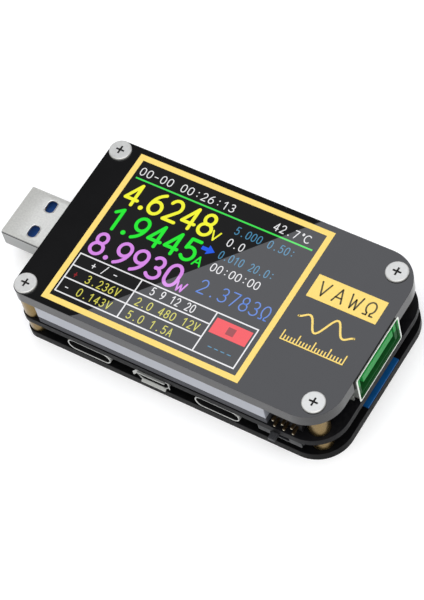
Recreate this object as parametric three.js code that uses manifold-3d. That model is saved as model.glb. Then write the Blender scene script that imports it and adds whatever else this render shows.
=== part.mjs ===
// Inline USB power meter: a smoked front panel, a display module, a circuit board and a back plate,
// stacked on brass standoffs, with a USB-A plug at one end and a USB-A socket at the other.
// Millimetres. The origin is the centre of the back plate's underside, +Z points up through the stack,
// +X points from the plug to the socket, and the small ports are on the -Y side.
import * as THREE from "three";
import { mergeVertices } from "three/addons/utils/BufferGeometryUtils.js";
import Module from "manifold-3d";

const wasm = await Module();
wasm.setup();

// ---- driving dimensions, mm ----

// Outline shared by the panel, the board and the back plate
const PLATE_LENGTH = 70.0;
const PLATE_WIDTH = 39.2;
const PLUG_END_CORNER_R = 2.4;
const SOCKET_END_CORNER_R = 7.3;

// Stack, from the floor up
const BACK_T = 2.0;
const LOWER_GAP = 3.5;
const BOARD_T = 1.6;
const UPPER_GAP = 5.8;
const PANEL_T = 3.0;
const BOARD_BOTTOM = BACK_T + LOWER_GAP;
const BOARD_TOP = BOARD_BOTTOM + BOARD_T;
const PANEL_BOTTOM = BOARD_TOP + UPPER_GAP;
const PANEL_TOP = PANEL_BOTTOM + PANEL_T;

// Screws and standoffs
const PLUG_END_SCREW_X = -32.6;
const PLUG_END_SCREW_Y = 17.15;
const SOCKET_END_SCREW_X = 30.65;
const SOCKET_END_SCREW_Y = 15.6;
const SCREW_HEAD_R = 2.3;
const SCREW_HEAD_H = 0.45;
const SCREW_HEAD_BEVEL = 0.1;
const SCREW_SHANK_R = 1.15;
const SCREW_REACH = 5.5;
const BACK_SCREW_HEAD_R = 1.9;
const BACK_SCREW_REACH = 3.2;
const BACK_SCREW_SET = 0.05;
const RECESS_LENGTH = 1.7;
const RECESS_WIDTH = 0.4;
const RECESS_DEPTH = 0.35;
const STANDOFF_R = 2.2;
const THREAD_R = 1.25;
const STUD_REACH = 2.9;
const STANDOFF_FLOOR = 1.0;
const HOLE_CLEARANCE = 0.15;

// Display module
const DISPLAY_X = [-30.1, 21.5];
const DISPLAY_HALF_WIDTH = 19.4;
const DISPLAY_SPACER_T = 1.75;
const DISPLAY_GAP = 0.05;
const GLASS_LENGTH = 46.0;
const GLASS_WIDTH = 36.2;
const GLASS_T = 1.4;
const GLASS_FIT = 0.1;

// USB-A plug
const PLUG_WIDTH = 12.0;
const PLUG_HEIGHT = 4.5;
const PLUG_X = [-48.0, -31.2];
const PLUG_BOTTOM = 4.7;
const PLUG_WALL = 0.3;
const PLUG_CORNER_R = 0.55;
const PLUG_HOLE = { x: -41.85, y: 3.2, length: 2.0, width: 2.8, r: 0.8 };
const PLUG_TONGUE_T = 1.9;
const PLUG_NOTCH_FIT = 0.35;

// USB-A socket
const SOCKET_CENTRE_Y = -0.5;
const SOCKET_WIDTH = 15.0;
const SOCKET_Z = [8.5, 15.05];
const SOCKET_REAR_X = 21.9;
const SOCKET_WALL = 0.35;
const SOCKET_LIP = { reach: 0.4, side: 0.35, up: 0.8, down: 0.2 };
const SOCKET_FOOT = 1.6;
const SOCKET_TONGUE = { width: 11.1, z: [12.05, 14.05], rear: 4.0 };
const SOCKET_LINER = 0.85;
const SOCKET_FLOOR_T = 0.5;
const PANEL_RELIEF = 0.15;

// Ports and slide switch on the -Y side, below the board
const PORT_FACE_Y = -19.55;
const TYPE_C = { xs: [-19.3, 9.9], width: 10.0, height: 3.25, wall: 0.28, depth: 7.6 };
const TYPE_C_TONGUE = { width: 6.7, t: 0.7, setback: 0.7, base: 2.2 };
const MICRO = { x: -4.45, width: 7.5, height: 2.75, slope: 0.9, wall: 0.3, depth: 5.4 };
const MICRO_LIP = { reach: 0.45, flare: 0.45, t: 0.25, inset: 0.7 };
const MICRO_TONGUE = { width: 3.8, t: 0.6, setback: 0.5, base: 1.6 };
const PORT_GAP = 0.05;
const SLIDE_BODY = { x: 23.9, length: 9.6, depth: 2.6, height: 1.6 };
const SLIDE_SLOT = { length: 4.1, z: [4.2, 5.15], depth: 1.5 };
const SLIDE_KNOB = { width: 1.5, throw: 2.0, out: 1.45, z: [4.32, 5.03], depth: 1.1 };

// Pin header above the board
const PIN_PITCH = 2.0;
const PIN_COLUMNS = 3;
const PIN_SIDE = 0.56;
const PIN_TIP_Y = -19.75;
const HEADER = { x: 25.45, y: [-18.0, -14.3], height: 4.4, lowRow: 1.3 };
const PIN_TAIL_Y = [-11.6, -13.4];

// Side keys on the +Y side, below the board
const KEY_XS = [-21.0, -7.0, 7.0, 21.0];
const KEY_BODY = { width: 6.2, y: [15.4, 19.2], height: 3.3 };
const KEY_CAP = { width: 2.8, height: 1.5, y: [18.3, 20.7], r: 0.35 };
const KEY_FIT = 0.12;
const KEY_WELL_FLOOR_Y = 17.6;

// Small parts inside: x, y, length, width and height, hanging under the board
const CHIPS = {
  controller_chip: [-8.0, 4.0, 7.0, 7.0, 1.4],
  sensing_chip: [13.0, 4.5, 5.0, 4.4, 1.3],
  shunt_resistor: [22.0, 2.0, 3.2, 6.4, 0.8],
  supply_inductor: [-22.0, 6.5, 5.0, 5.0, 2.6],
};
const CHIP_CORNER_R = 0.2;

// Facets: round parts, the plates' corners, the ports' round ends, and every small corner
const ROUND_STEPS = 24;
const PLATE_STEPS = 8;
const PORT_STEPS = 5;
const SMALL_STEPS = 2;

// ---- helpers ----

// A closed solid, ready for boolean work, from a three.js geometry.
function solid(geometry) {
  const bare = geometry.clone();
  bare.deleteAttribute("normal");
  bare.deleteAttribute("uv");
  const merged = mergeVertices(bare, 1e-4);
  return new wasm.Manifold(
    new wasm.Mesh({
      numProp: 3,
      vertProperties: new Float32Array(merged.attributes.position.array),
      triVerts: new Uint32Array(merged.index.array),
    }),
  );
}

// The base solid with each of the others joined to it.
function join(base, ...others) {
  return others.reduce((sum, other) => sum.add(other), base);
}

// The base solid with each of the others cut from it.
function cut(base, ...others) {
  return others.reduce((rest, other) => rest.subtract(other), base);
}

// A plain box between two corners.
function box(x, y, z) {
  const geometry = new THREE.BoxGeometry(x[1] - x[0], y[1] - y[0], z[1] - z[0]);
  geometry.translate((x[0] + x[1]) / 2, (y[0] + y[1]) / 2, (z[0] + z[1]) / 2);
  return solid(geometry);
}

// A rectangle with a radius of its own at each end, low u first.
function roundedOutline(u, v, lowR, highR = lowR) {
  const path = new THREE.Shape();
  path.absarc(u[1] - highR, v[1] - highR, highR, 0, Math.PI / 2);
  path.absarc(u[0] + lowR, v[1] - lowR, lowR, Math.PI / 2, Math.PI);
  path.absarc(u[0] + lowR, v[0] + lowR, lowR, Math.PI, Math.PI * 1.5);
  path.absarc(u[1] - highR, v[0] + highR, highR, Math.PI * 1.5, Math.PI * 2);
  path.closePath();
  return path;
}

// A straight-sided outline through its corners.
function polygon(corners) {
  return new THREE.Shape(corners.map(([u, v]) => new THREE.Vector2(u, v)));
}

function extrude(shape, depth, curveSegments) {
  return new THREE.ExtrudeGeometry(shape, { depth, bevelEnabled: false, curveSegments });
}

// Extrusions of an outline drawn in x and y, in y and z, and in x and z.
function alongZ(shape, z, steps = SMALL_STEPS) {
  return solid(extrude(shape, z[1] - z[0], steps).translate(0, 0, z[0]));
}

function alongX(shape, x, steps = SMALL_STEPS) {
  const turn = new THREE.Matrix4().makeBasis(
    new THREE.Vector3(0, 1, 0),
    new THREE.Vector3(0, 0, 1),
    new THREE.Vector3(1, 0, 0),
  );
  return solid(extrude(shape, x[1] - x[0], steps).applyMatrix4(turn).translate(x[0], 0, 0));
}

function alongY(shape, y, steps = SMALL_STEPS) {
  const turn = new THREE.Matrix4().makeBasis(
    new THREE.Vector3(1, 0, 0),
    new THREE.Vector3(0, 0, 1),
    new THREE.Vector3(0, -1, 0),
  );
  return solid(extrude(shape, y[1] - y[0], steps).applyMatrix4(turn).translate(0, y[1], 0));
}

// A solid of revolution about a vertical axis, from a profile of [radius, height] that runs up.
function turned(profile, x = 0, y = 0) {
  const points = profile.map(([r, z]) => new THREE.Vector2(r, z));
  const geometry = new THREE.LatheGeometry(points, ROUND_STEPS);
  geometry.rotateX(Math.PI / 2);
  geometry.translate(x, y, 0);
  return solid(geometry);
}

function rod(r, z, x = 0, y = 0) {
  return turned([[0, z[0]], [r, z[0]], [r, z[1]], [0, z[1]]], x, y);
}

const meter = new THREE.Group();
meter.name = "usb_power_meter";

// A nested group, placed in the meter's frame.
function addGroup(name, x = 0, y = 0, z = 0) {
  const group = new THREE.Group();
  group.name = name;
  group.position.set(x, y, z);
  meter.add(group);
  return group;
}

// Adds a finished solid to a group as one named node with a material of its own.
function addNode(group, name, body, colour, roughness, metalness) {
  const data = body.getMesh();
  const geometry = new THREE.BufferGeometry();
  geometry.setAttribute("position", new THREE.BufferAttribute(data.vertProperties, 3));
  geometry.setIndex(new THREE.BufferAttribute(data.triVerts, 1));
  geometry.computeVertexNormals();
  const material = new THREE.MeshStandardMaterial({ color: colour, roughness, metalness });
  const mesh = new THREE.Mesh(geometry, material);
  mesh.name = name;
  group.add(mesh);
}

// ---- the three plates ----

const plateX = [-PLATE_LENGTH / 2, PLATE_LENGTH / 2];
const plateY = [-PLATE_WIDTH / 2, PLATE_WIDTH / 2];

function plate(z) {
  const outline = roundedOutline(plateX, plateY, PLUG_END_CORNER_R, SOCKET_END_CORNER_R);
  return alongZ(outline, z, PLATE_STEPS);
}

const corners = [
  [PLUG_END_SCREW_X, PLUG_END_SCREW_Y],
  [PLUG_END_SCREW_X, -PLUG_END_SCREW_Y],
  [SOCKET_END_SCREW_X, SOCKET_END_SCREW_Y],
  [SOCKET_END_SCREW_X, -SOCKET_END_SCREW_Y],
];
const holeR = SCREW_SHANK_R + HOLE_CLEARANCE;

const socketY = [SOCKET_CENTRE_Y - SOCKET_WIDTH / 2, SOCKET_CENTRE_Y + SOCKET_WIDTH / 2];
const plates = addGroup("plates");

// The panel: four screw holes, and a relief on its underside for the top of the socket's shell.
const panelHoles = corners.map(([x, y]) => rod(holeR, [PANEL_BOTTOM - 1, PANEL_TOP + 1], x, y));
const socketRelief = box(
  [SOCKET_REAR_X - PANEL_RELIEF, plateX[1] + 1],
  [socketY[0] - PANEL_RELIEF, socketY[1] + PANEL_RELIEF],
  [PANEL_BOTTOM - 1, SOCKET_Z[1] + PANEL_RELIEF],
);
const panel = cut(plate([PANEL_BOTTOM, PANEL_TOP]), socketRelief, ...panelHoles);
addNode(plates, "front_panel", panel, 0x1b1b1d, 0.12, 0.0);

// The board: four holes, and a notch that the rear of the plug sits in.
const boardHoles = corners.map(([x, y]) => rod(holeR, [BOARD_BOTTOM - 1, BOARD_TOP + 1], x, y));
const plugNotch = box(
  [plateX[0] - 1, PLUG_X[1] + PLUG_NOTCH_FIT],
  [-PLUG_WIDTH / 2 - PLUG_NOTCH_FIT, PLUG_WIDTH / 2 + PLUG_NOTCH_FIT],
  [BOARD_BOTTOM - 1, BOARD_TOP + 1],
);
const board = cut(plate([BOARD_BOTTOM, BOARD_TOP]), plugNotch, ...boardHoles);
addNode(plates, "main_board", board, 0x141619, 0.45, 0.0);

// The back plate: four countersunk holes, open at the floor.
const sinkR = BACK_SCREW_HEAD_R + 0.1;
const sinks = corners.map(([x, y]) =>
  turned(
    [
      [0, -1],
      [sinkR, -1],
      [sinkR, 0.1],
      [holeR, 0.1 + sinkR - holeR],
      [holeR, BACK_T + 1],
      [0, BACK_T + 1],
    ],
    x,
    y,
  ),
);
addNode(plates, "back_plate", cut(plate([0, BACK_T]), ...sinks), 0x121214, 0.4, 0.0);

// ---- screws and standoffs ----

// A cross recess in a screw head's face, between two heights.
function crossRecess(z) {
  const half = RECESS_LENGTH / 2;
  const thin = RECESS_WIDTH / 2;
  return join(box([-half, half], [-thin, thin], z), box([-thin, thin], [-half, half], z));
}

const headTop = PANEL_TOP + SCREW_HEAD_H;
const frontScrew = cut(
  turned([
    [0, PANEL_TOP - SCREW_REACH],
    [SCREW_SHANK_R, PANEL_TOP - SCREW_REACH],
    [SCREW_SHANK_R, PANEL_TOP],
    [SCREW_HEAD_R, PANEL_TOP],
    [SCREW_HEAD_R, headTop - SCREW_HEAD_BEVEL],
    [SCREW_HEAD_R - SCREW_HEAD_BEVEL, headTop],
    [0, headTop],
  ]),
  crossRecess([headTop - RECESS_DEPTH, headTop + 1]),
);

// A stud at the foot of the upper standoff passes through the board into the lower one.
const upperStandoff = turned([
  [0, BOARD_TOP - STUD_REACH],
  [SCREW_SHANK_R, BOARD_TOP - STUD_REACH],
  [SCREW_SHANK_R, BOARD_TOP],
  [STANDOFF_R, BOARD_TOP],
  [STANDOFF_R, PANEL_BOTTOM],
  [THREAD_R, PANEL_BOTTOM],
  [THREAD_R, BOARD_TOP + STANDOFF_FLOOR],
  [0, BOARD_TOP + STANDOFF_FLOOR],
]);

const lowerStandoff = cut(
  rod(STANDOFF_R, [BACK_T, BOARD_BOTTOM]),
  rod(THREAD_R, [BACK_T - 1, BOARD_BOTTOM + 1]),
);

const sinkDepth = BACK_SCREW_HEAD_R - SCREW_SHANK_R;
const backScrew = cut(
  turned([
    [0, BACK_SCREW_SET],
    [BACK_SCREW_HEAD_R, BACK_SCREW_SET],
    [SCREW_SHANK_R, BACK_SCREW_SET + sinkDepth],
    [SCREW_SHANK_R, BACK_SCREW_REACH],
    [0, BACK_SCREW_REACH],
  ]),
  crossRecess([BACK_SCREW_SET - 1, BACK_SCREW_SET + RECESS_DEPTH]),
);

corners.forEach(([x, y], i) => {
  const number = i + 1;
  const corner = addGroup(`corner_${number}`, x, y);
  addNode(corner, `front_screw_${number}`, frontScrew, 0xdcdcda, 0.3, 0.9);
  addNode(corner, `upper_standoff_${number}`, upperStandoff, 0xb5975a, 0.3, 0.95);
  addNode(corner, `lower_standoff_${number}`, lowerStandoff, 0xb5975a, 0.3, 0.95);
  addNode(corner, `back_screw_${number}`, backScrew, 0xd2d2d0, 0.3, 0.9);
});

// ---- display module ----

const display = addGroup("display");
const displayY = [-DISPLAY_HALF_WIDTH, DISPLAY_HALF_WIDTH];
const spacerTop = BOARD_TOP + DISPLAY_GAP + DISPLAY_SPACER_T;
const frameBottom = spacerTop + DISPLAY_GAP;
const frameTop = PANEL_BOTTOM - DISPLAY_GAP;
const displayCentreX = (DISPLAY_X[0] + DISPLAY_X[1]) / 2;

addNode(
  display,
  "display_spacer",
  box(DISPLAY_X, displayY, [BOARD_TOP + DISPLAY_GAP, spacerTop]),
  0x3c3c40,
  0.6,
  0.0,
);

// The tray that carries the glass, with the glass lying flush in its top.
function glassOutline(fit) {
  const halfLength = GLASS_LENGTH / 2 + fit;
  const halfWidth = GLASS_WIDTH / 2 + fit;
  return box(
    [displayCentreX - halfLength, displayCentreX + halfLength],
    [-halfWidth, halfWidth],
    [frameTop - GLASS_T - (fit ? 0 : -DISPLAY_GAP), frameTop + (fit ? 1 : 0)],
  );
}
const tray = cut(box(DISPLAY_X, displayY, [frameBottom, frameTop]), glassOutline(GLASS_FIT));
addNode(display, "display_frame", tray, 0xb9bcc3, 0.5, 0.1);
addNode(display, "display_glass", glassOutline(0), 0x101216, 0.08, 0.0);

// The ribbon runs out of the module's end, bends down and enters a connector on the board.
const ribbonY = [9.2, 15.6];
const ribbon = polygon([
  [DISPLAY_X[1] + 0.05, 10.4],
  [DISPLAY_X[1] + 0.85, 10.4],
  [DISPLAY_X[1] + 1.1, 10.15],
  [DISPLAY_X[1] + 1.1, 8.05],
  [DISPLAY_X[1] + 1.3, 7.85],
  [DISPLAY_X[1] + 2.35, 7.85],
  [DISPLAY_X[1] + 2.35, 7.65],
  [DISPLAY_X[1] + 1.2, 7.65],
  [DISPLAY_X[1] + 0.9, 7.95],
  [DISPLAY_X[1] + 0.9, 10.05],
  [DISPLAY_X[1] + 0.75, 10.2],
  [DISPLAY_X[1] + 0.05, 10.2],
]);
addNode(display, "display_ribbon", alongY(ribbon, ribbonY), 0xa8672c, 0.45, 0.0);
addNode(
  display,
  "ribbon_connector",
  box([DISPLAY_X[1] + 2.4, DISPLAY_X[1] + 5.4], [8.6, 16.2], [BOARD_TOP, BOARD_TOP + 1.3]),
  0xe6e2d6,
  0.5,
  0.0,
);

// ---- USB-A plug ----

const usbA = addGroup("usb_a");
const plugTop = PLUG_BOTTOM + PLUG_HEIGHT;
const plugZ = [PLUG_BOTTOM, plugTop];
const plugY = [-PLUG_WIDTH / 2, PLUG_WIDTH / 2];
const plugShellOutline = roundedOutline(plugY, plugZ, PLUG_CORNER_R);
const plugInnerY = [plugY[0] + PLUG_WALL, plugY[1] - PLUG_WALL];
const plugInnerZ = [plugZ[0] + PLUG_WALL, plugZ[1] - PLUG_WALL];
plugShellOutline.holes.push(roundedOutline(plugInnerY, plugInnerZ, PLUG_CORNER_R - PLUG_WALL));
const plugWindows = [-PLUG_HOLE.y, PLUG_HOLE.y].map((y) =>
  alongZ(
    roundedOutline(
      [PLUG_HOLE.x - PLUG_HOLE.length / 2, PLUG_HOLE.x + PLUG_HOLE.length / 2],
      [y - PLUG_HOLE.width / 2, y + PLUG_HOLE.width / 2],
      PLUG_HOLE.r,
    ),
    [PLUG_BOTTOM - 1, plugTop + 1],
  ),
);
const plugShell = cut(alongX(plugShellOutline, PLUG_X), ...plugWindows);
addNode(usbA, "usb_a_plug_shell", plugShell, 0xcfcfca, 0.35, 0.85);

const PLUG_FILL = 0.1;
const plugTongueY = [plugInnerY[0] + PLUG_FILL, plugInnerY[1] - PLUG_FILL];
const plugTongueBottom = plugInnerZ[0] + PLUG_FILL;
const plugTongue = join(
  box(
    [PLUG_X[0] + 0.6, PLUG_X[1] - 1.0],
    plugTongueY,
    [plugTongueBottom, plugTongueBottom + PLUG_TONGUE_T],
  ),
  box([PLUG_X[1] - 5.0, PLUG_X[1] - 1.0], plugTongueY, [plugTongueBottom, plugInnerZ[1] - PLUG_FILL]),
);
addNode(usbA, "usb_a_plug_insulator", plugTongue, 0x19468a, 0.45, 0.0);

// ---- USB-A socket ----

const socketInnerY = [socketY[0] + SOCKET_WALL, socketY[1] - SOCKET_WALL];
const socketInnerZ = [SOCKET_Z[0] + SOCKET_WALL, SOCKET_Z[1] - SOCKET_WALL];
const lipX = [plateX[1] + 0.05, plateX[1] + 0.05 + SOCKET_LIP.reach];

// A wedge-sided ring that widens from the shell's mouth to the lips' outer edge.
function flare(inset) {
  const low = [
    [socketY[0] + inset, SOCKET_Z[0] + inset],
    [socketY[1] - inset, SOCKET_Z[0] + inset],
    [socketY[1] - inset, SOCKET_Z[1] - inset],
    [socketY[0] + inset, SOCKET_Z[1] - inset],
  ];
  const grow = [
    [-SOCKET_LIP.side, -SOCKET_LIP.down],
    [SOCKET_LIP.side, -SOCKET_LIP.down],
    [SOCKET_LIP.side, SOCKET_LIP.up],
    [-SOCKET_LIP.side, SOCKET_LIP.up],
  ];
  const near = low.map(([y, z]) => [lipX[0], y, z]);
  const far = low.map(([y, z], i) => [lipX[1], y + grow[i][0], z + grow[i][1]]);
  const faces = [0, 2, 1, 0, 3, 2, 4, 5, 6, 4, 6, 7];
  for (let i = 0; i < 4; i++) {
    const next = (i + 1) % 4;
    faces.push(i, next, next + 4, i, next + 4, i + 4);
  }
  const geometry = new THREE.BufferGeometry();
  const positions = new Float32Array([...near, ...far].flat());
  geometry.setAttribute("position", new THREE.BufferAttribute(positions, 3));
  geometry.setIndex(faces);
  return solid(geometry);
}

const shellBlock = box([SOCKET_REAR_X, lipX[0]], socketY, SOCKET_Z);
const shellHollow = box([SOCKET_REAR_X + SOCKET_WALL, lipX[1] + 1], socketInnerY, socketInnerZ);
const footXs = [SOCKET_REAR_X + 1.0, plateX[1] - 3.0];
const feet = footXs.flatMap((x) =>
  [socketY[0], socketY[1] - SOCKET_WALL].map((y) =>
    box([x, x + SOCKET_FOOT], [y, y + SOCKET_WALL], [BOARD_TOP, SOCKET_Z[0] + 0.5]),
  ),
);
const socketShell = cut(join(shellBlock, flare(0), ...feet), shellHollow, flare(SOCKET_WALL));
addNode(usbA, "usb_a_socket_shell", socketShell, 0xd9dad6, 0.3, 0.9);

// The moulding: a liner on both sides, a thin floor, a rear wall, and the tongue that carries contacts.
const MOULDING_GAP = 0.05;
const linerY = [socketInnerY[0] + MOULDING_GAP, socketInnerY[1] - MOULDING_GAP];
const linerZ = [socketInnerZ[0] + MOULDING_GAP, socketInnerZ[1] - MOULDING_GAP];
const mouldingX = [SOCKET_REAR_X + SOCKET_WALL + MOULDING_GAP, plateX[1]];
const cavity = box(
  [mouldingX[0] + SOCKET_TONGUE.rear, mouldingX[1] + 1],
  [linerY[0] + SOCKET_LINER, linerY[1] - SOCKET_LINER],
  [linerZ[0] + SOCKET_FLOOR_T, linerZ[1] + 1],
);
const tongueY = [
  SOCKET_CENTRE_Y - SOCKET_TONGUE.width / 2,
  SOCKET_CENTRE_Y + SOCKET_TONGUE.width / 2,
];
const moulding = join(
  cut(box(mouldingX, linerY, linerZ), cavity),
  box([mouldingX[0] + 1, mouldingX[1] + 0.2], tongueY, SOCKET_TONGUE.z),
);
addNode(usbA, "usb_a_socket_insulator", moulding, 0x2f9a4a, 0.4, 0.0);

// The blue insulating pad that lies on the back plate below the socket.
addNode(
  usbA,
  "socket_end_pad",
  box([23.0, plateX[1] - 0.05], [-6.0, 5.75], [BACK_T, BACK_T + 0.45]),
  0x0a3a68,
  0.5,
  0.0,
);

// ---- ports below the board ----

const portTop = BOARD_BOTTOM - PORT_GAP;
const micro = addGroup("micro_usb_port", MICRO.x);

// One USB-C port about its own middle: a shell with round ends, and a tongue on a base that closes it.
const cX = [-TYPE_C.width / 2, TYPE_C.width / 2];
const cZ = [portTop - TYPE_C.height, portTop];
const cInnerX = [cX[0] + TYPE_C.wall, cX[1] - TYPE_C.wall];
const cInnerZ = [cZ[0] + TYPE_C.wall, cZ[1] - TYPE_C.wall];
const cInnerR = (cInnerZ[1] - cInnerZ[0]) / 2 - 0.01;
const cMiddle = (cZ[0] + cZ[1]) / 2;
const cY = [PORT_FACE_Y, PORT_FACE_Y + TYPE_C.depth];
const cShellOutline = roundedOutline(cX, cZ, TYPE_C.height / 2 - 0.01);
cShellOutline.holes.push(roundedOutline(cInnerX, cInnerZ, cInnerR));
const cBaseOutline = roundedOutline(
  [cInnerX[0] + PORT_GAP, cInnerX[1] - PORT_GAP],
  [cInnerZ[0] + PORT_GAP, cInnerZ[1] - PORT_GAP],
  cInnerR - PORT_GAP,
);
const cShell = alongY(cShellOutline, cY, PORT_STEPS);
const cTongue = join(
  alongY(cBaseOutline, [cY[1] - TYPE_C_TONGUE.base, cY[1]], PORT_STEPS),
  box(
    [-TYPE_C_TONGUE.width / 2, TYPE_C_TONGUE.width / 2],
    [cY[0] + TYPE_C_TONGUE.setback, cY[1] - 1],
    [cMiddle - TYPE_C_TONGUE.t / 2, cMiddle + TYPE_C_TONGUE.t / 2],
  ),
);
TYPE_C.xs.forEach((x, i) => {
  const port = addGroup(`usb_c_port_${i + 1}`, x);
  addNode(port, `usb_c_shell_${i + 1}`, cShell, 0xb9b9b6, 0.25, 0.95);
  addNode(port, `usb_c_tongue_${i + 1}`, cTongue, 0x17171a, 0.5, 0.0);
});

// The micro port's section narrows towards the back plate; inset moves its walls inwards.
function microOutline(inset) {
  const half = MICRO.width / 2 - inset;
  const low = portTop - MICRO.height + inset;
  const high = portTop - inset;
  const shoulder = high - MICRO.height / 2;
  return polygon([
    [-half, high],
    [-half, shoulder],
    [-half + MICRO.slope, low],
    [half - MICRO.slope, low],
    [half, shoulder],
    [half, high],
  ]);
}
const microY = [PORT_FACE_Y, PORT_FACE_Y + MICRO.depth];
const lipOut = [PORT_FACE_Y - MICRO_LIP.reach, PORT_FACE_Y + 0.3];

// A lip seen end on: a thin blade that leans outwards as it leaves the mouth. Side blades turn it to x.
function lipBlade(root, outwards) {
  return [
    [lipOut[1], root],
    [lipOut[0], root + outwards * MICRO_LIP.flare],
    [lipOut[0], root + outwards * (MICRO_LIP.flare - MICRO_LIP.t)],
    [lipOut[1], root - outwards * MICRO_LIP.t],
  ];
}
const lipSpanX = [-MICRO.width / 2 + MICRO_LIP.inset, MICRO.width / 2 - MICRO_LIP.inset];
const lowLipSpanX = [lipSpanX[0] + 0.3, lipSpanX[1] - 0.3];
const sideLipZ = [portTop - MICRO.height / 2, portTop - 0.35];
const microShell = join(
  cut(alongY(microOutline(0), microY), alongY(microOutline(MICRO.wall), [microY[0] - 1, microY[1] + 1])),
  alongX(polygon(lipBlade(portTop - MICRO.height, -1)), lowLipSpanX),
  alongZ(polygon(lipBlade(-MICRO.width / 2, -1).map(([y, x]) => [x, y])), sideLipZ),
  alongZ(polygon(lipBlade(MICRO.width / 2, 1).map(([y, x]) => [x, y])), sideLipZ),
  box(lipSpanX, lipOut, [portTop - MICRO.wall, portTop]),
);
addNode(micro, "micro_usb_shell", microShell, 0xbcbcb9, 0.3, 0.95);

const microTongueZ = portTop - MICRO.wall - 0.65;
const microTongue = join(
  alongY(microOutline(MICRO.wall + PORT_GAP), [microY[1] - MICRO_TONGUE.base, microY[1]]),
  box(
    [-MICRO_TONGUE.width / 2, MICRO_TONGUE.width / 2],
    [microY[0] + MICRO_TONGUE.setback, microY[1] - 1],
    [microTongueZ - MICRO_TONGUE.t, microTongueZ],
  ),
);
addNode(micro, "micro_usb_tongue", microTongue, 0x17171a, 0.5, 0.0);

// ---- slide switch ----

const slideSwitch = addGroup("slide_switch", SLIDE_BODY.x);
const slideBody = cut(
  box(
    [-SLIDE_BODY.length / 2, SLIDE_BODY.length / 2],
    [PORT_FACE_Y, PORT_FACE_Y + SLIDE_BODY.depth],
    [portTop - SLIDE_BODY.height, portTop],
  ),
  box(
    [-SLIDE_SLOT.length / 2, SLIDE_SLOT.length / 2],
    [PORT_FACE_Y - 1, PORT_FACE_Y + SLIDE_SLOT.depth],
    SLIDE_SLOT.z,
  ),
);
addNode(slideSwitch, "slide_switch_body", slideBody, 0x2b2c2f, 0.4, 0.3);

// The knob rests at the low-x end of its throw.
const knobX = -SLIDE_KNOB.throw / 2;
addNode(
  slideSwitch,
  "slide_switch_knob",
  box(
    [knobX - SLIDE_KNOB.width / 2, knobX + SLIDE_KNOB.width / 2],
    [PORT_FACE_Y - SLIDE_KNOB.out, PORT_FACE_Y + SLIDE_KNOB.depth],
    SLIDE_KNOB.z,
  ),
  0x3f4043,
  0.5,
  0.0,
);

// ---- pin header ----

const pinHeader = addGroup("pin_header", HEADER.x);
const headerX = [-(PIN_COLUMNS * PIN_PITCH) / 2, (PIN_COLUMNS * PIN_PITCH) / 2];
const pinFit = PIN_SIDE / 2 + 0.06;
const pinPlaces = [];
for (let row = 0; row < 2; row++)
  for (let column = 0; column < PIN_COLUMNS; column++)
    pinPlaces.push({
      row,
      x: (column - (PIN_COLUMNS - 1) / 2) * PIN_PITCH,
      z: BOARD_TOP + HEADER.lowRow + row * PIN_PITCH,
    });
const header = cut(
  box(headerX, HEADER.y, [BOARD_TOP, BOARD_TOP + HEADER.height]),
  ...pinPlaces.map(({ x, z }) =>
    box([x - pinFit, x + pinFit], [HEADER.y[0] - 1, HEADER.y[1] + 1], [z - pinFit, z + pinFit]),
  ),
);
addNode(pinHeader, "pin_header_housing", header, 0x141414, 0.5, 0.0);

// Each pin runs out through the housing, and its tail turns down to the board behind it.
function headerPin(row) {
  const half = PIN_SIDE / 2;
  const tail = PIN_TAIL_Y[1 - row];
  const z = BOARD_TOP + HEADER.lowRow + row * PIN_PITCH;
  return join(
    box([-half, half], [PIN_TIP_Y, tail + half], [z - half, z + half]),
    box([-half, half], [tail - half, tail + half], [BOARD_TOP, z + half]),
  );
}
pinPlaces.forEach(({ row, x }, i) => {
  const place = addGroup(`pin_place_${i + 1}`, HEADER.x + x);
  addNode(place, `header_pin_${i + 1}`, headerPin(row), 0xd8b25a, 0.25, 1.0);
});

// ---- side keys ----

const keyZ = portTop - KEY_BODY.height / 2;

function keyOutline(fit) {
  const halfWidth = KEY_CAP.width / 2 + fit;
  const halfHeight = KEY_CAP.height / 2 + fit;
  return roundedOutline(
    [-halfWidth, halfWidth],
    [keyZ - halfHeight, keyZ + halfHeight],
    KEY_CAP.r + fit,
  );
}

const keyBody = cut(
  box(
    [-KEY_BODY.width / 2, KEY_BODY.width / 2],
    KEY_BODY.y,
    [portTop - KEY_BODY.height, portTop],
  ),
  alongY(keyOutline(KEY_FIT), [KEY_WELL_FLOOR_Y, KEY_BODY.y[1] + 1]),
);
KEY_XS.forEach((x, i) => {
  const key = addGroup(`key_${i + 1}`, x);
  addNode(key, `key_body_${i + 1}`, keyBody, 0xb4b5b2, 0.35, 0.8);
  addNode(key, `key_cap_${i + 1}`, alongY(keyOutline(0), KEY_CAP.y), 0x1d1d20, 0.5, 0.0);
});

// ---- chips hanging under the board ----

for (const [name, [x, y, length, width, height]] of Object.entries(CHIPS)) {
  const place = addGroup(`${name}_place`, x, y);
  const outline = roundedOutline(
    [-length / 2, length / 2],
    [-width / 2, width / 2],
    CHIP_CORNER_R,
  );
  addNode(place, name, alongZ(outline, [portTop - height, portTop]), 0x1c1c1f, 0.6, 0.0);
}

export default meter;
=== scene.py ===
"""Looks for an inline USB power meter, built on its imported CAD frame.

Sizes are millimetres unless a name says otherwise, in the CAD's own frame: the origin is the centre of
the back plate's underside, +X runs from the plug to the socket, and the small ports are on the -Y side.
"""

import math

import bpy
from mathutils import Matrix, Vector
from mathutils.geometry import tessellate_polygon


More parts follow.
